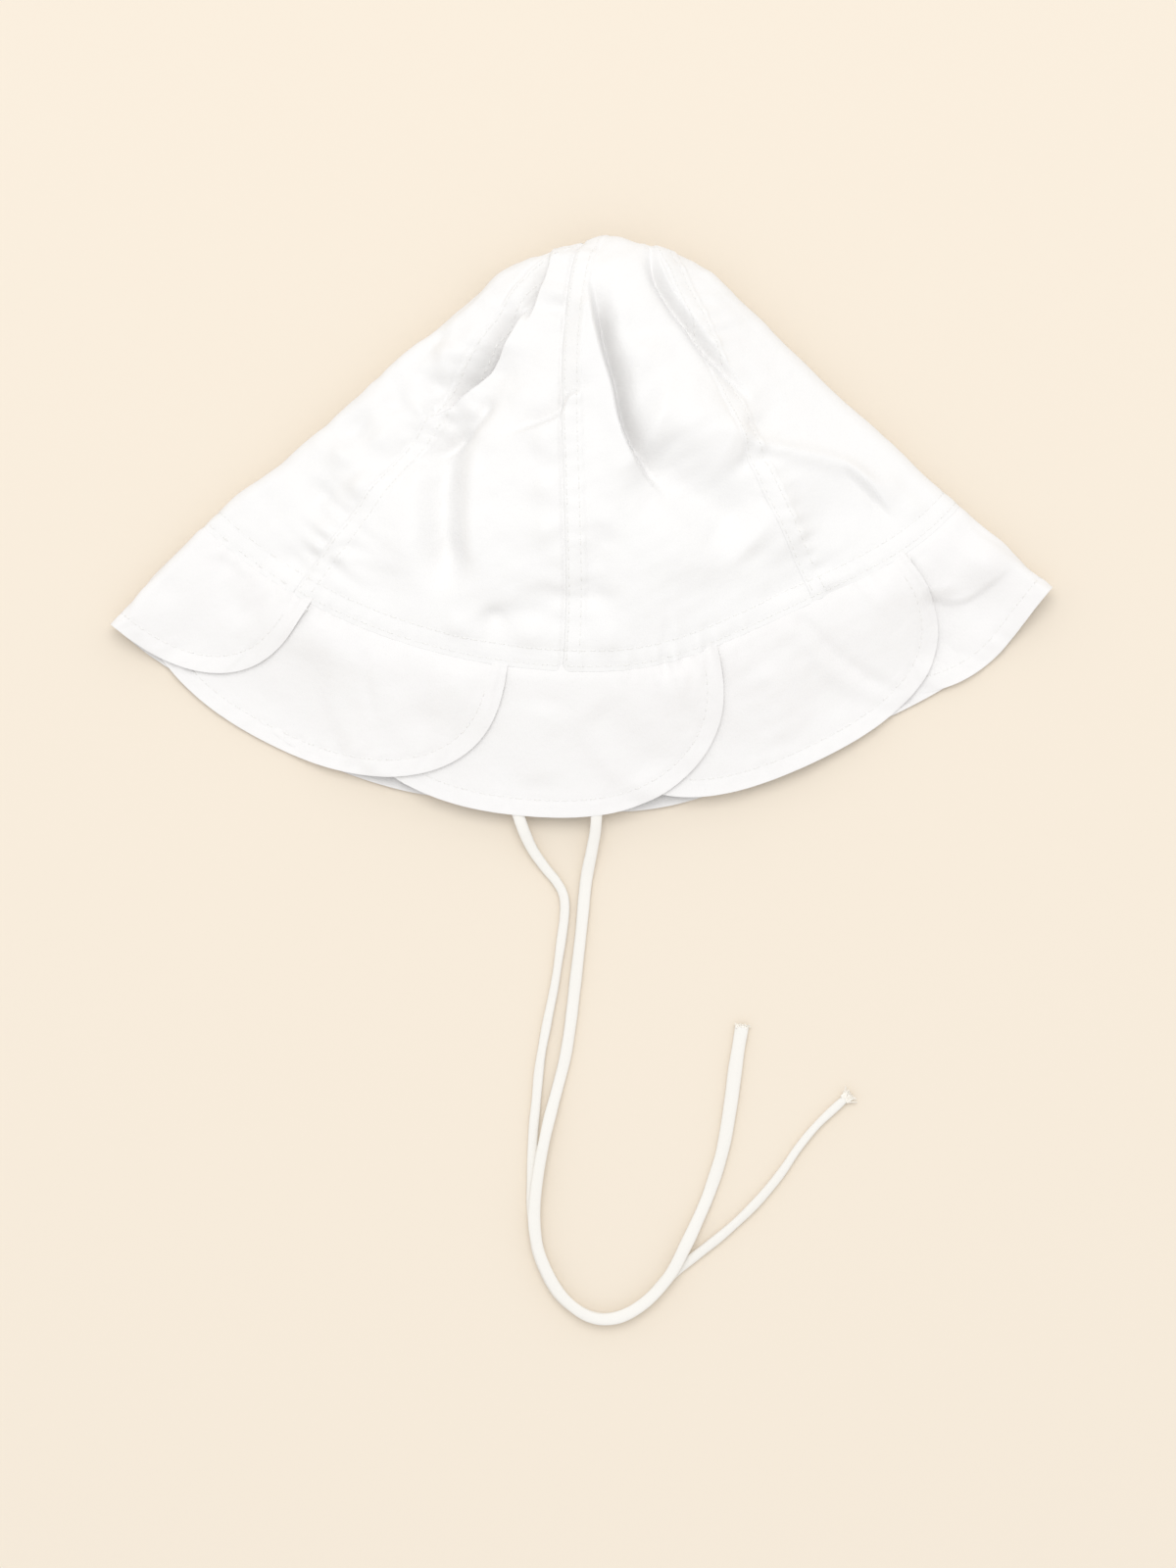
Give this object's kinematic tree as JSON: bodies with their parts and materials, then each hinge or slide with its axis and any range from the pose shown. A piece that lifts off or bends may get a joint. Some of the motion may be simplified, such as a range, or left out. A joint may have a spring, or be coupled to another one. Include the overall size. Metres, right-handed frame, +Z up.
{
  "type": "baby sun hat",
  "caption": "Soft cotton baby sun hat lying flat on its side, with a gored crown, a brim of overlapping scalloped petals and flat chin ties.",
  "frame": {"origin": "middle of the hat without its ties as it lies, on the surface under it", "axes": "+X from the left side fold to the right side fold, +Y from the brim towards the crown's top edge, +Z up from the surface"},
  "size_m": [0.2764, 0.3153, 0.0285],
  "materials": {
    "crown_cotton": "thin white cotton, plain weave",
    "brim_cotton": "doubled white cotton, topstitched",
    "tie_cotton": "flat white cotton band"
  },
  "bodies": {
    "root": {"crown_panel_1": "crown_cotton", "crown_panel_2": "crown_cotton", "crown_panel_3": "crown_cotton", "crown_panel_4": "crown_cotton", "crown_panel_5": "crown_cotton", "crown_panel_6": "crown_cotton", "brim_petal_1": "brim_cotton", "brim_petal_2": "brim_cotton", "brim_petal_3": "brim_cotton", "brim_petal_4": "brim_cotton", "brim_petal_5": "brim_cotton", "brim_petal_6": "brim_cotton", "brim_petal_7": "brim_cotton", "brim_petal_8": "brim_cotton", "tie_lower": "tie_cotton", "tie_upper": "tie_cotton"}
  },
  "joints": []
}
